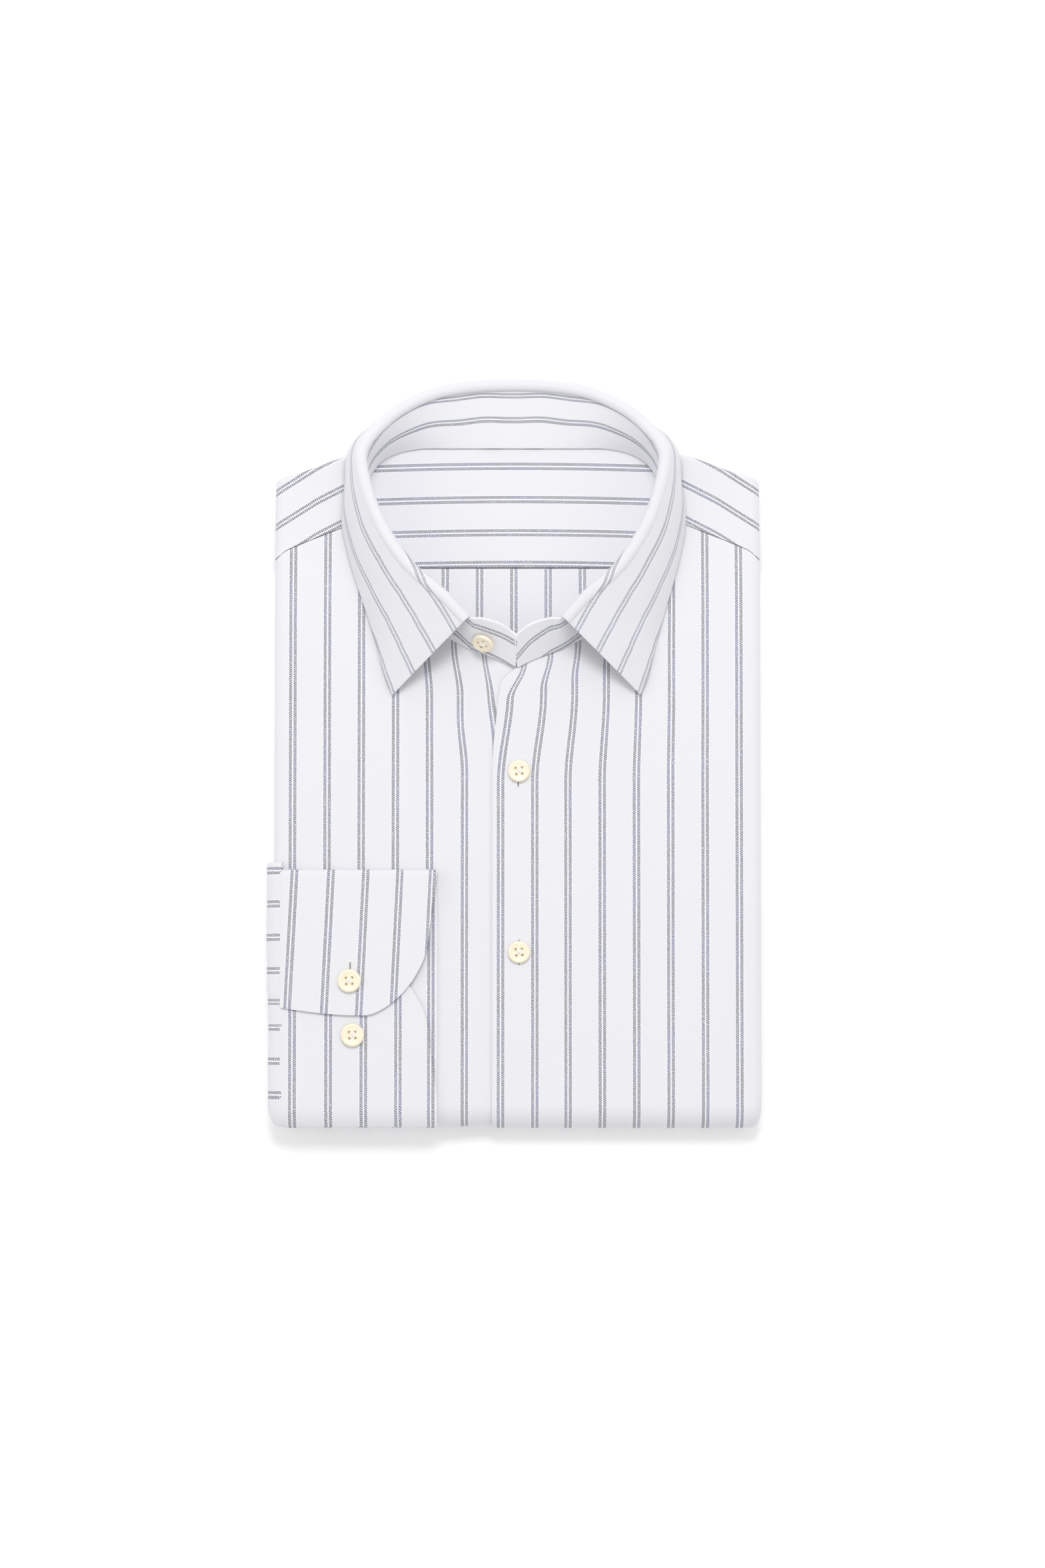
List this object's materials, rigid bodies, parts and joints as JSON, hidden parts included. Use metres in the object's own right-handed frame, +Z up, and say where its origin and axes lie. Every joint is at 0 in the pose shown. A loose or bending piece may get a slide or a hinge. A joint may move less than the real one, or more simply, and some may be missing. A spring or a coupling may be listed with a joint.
{
  "type": "folded dress shirt",
  "caption": "Long-sleeved button-front dress shirt folded flat, collar standing open, one buttoned barrel cuff laid across the front.",
  "frame": {"origin": "on the underside where the shirt rests, on the middle line of the folded body and half way along it", "axes": "+X to the right of the shirt as it is looked at, +Y towards the collar, +Z up"},
  "size_m": [0.2542, 0.3853, 0.0552],
  "materials": {
    "shirting": "fine cotton twill, white with paired grey-blue stripes",
    "shirting_inside": "inside of the same striped cotton",
    "ivory_button": "ivory, satin"
  },
  "bodies": {
    "root": {"front_left": "shirting", "front_right": "shirting", "yoke": "shirting", "back": "shirting_inside", "collar_band": "shirting", "collar_leaf": "shirting", "sleeve_right": "shirting", "cuff_right": "shirting", "folded_layers": "shirting_inside", "button_collar": "ivory_button", "button_front_1": "ivory_button", "button_front_2": "ivory_button", "button_cuff_1": "ivory_button", "button_cuff_2": "ivory_button"}
  },
  "joints": []
}
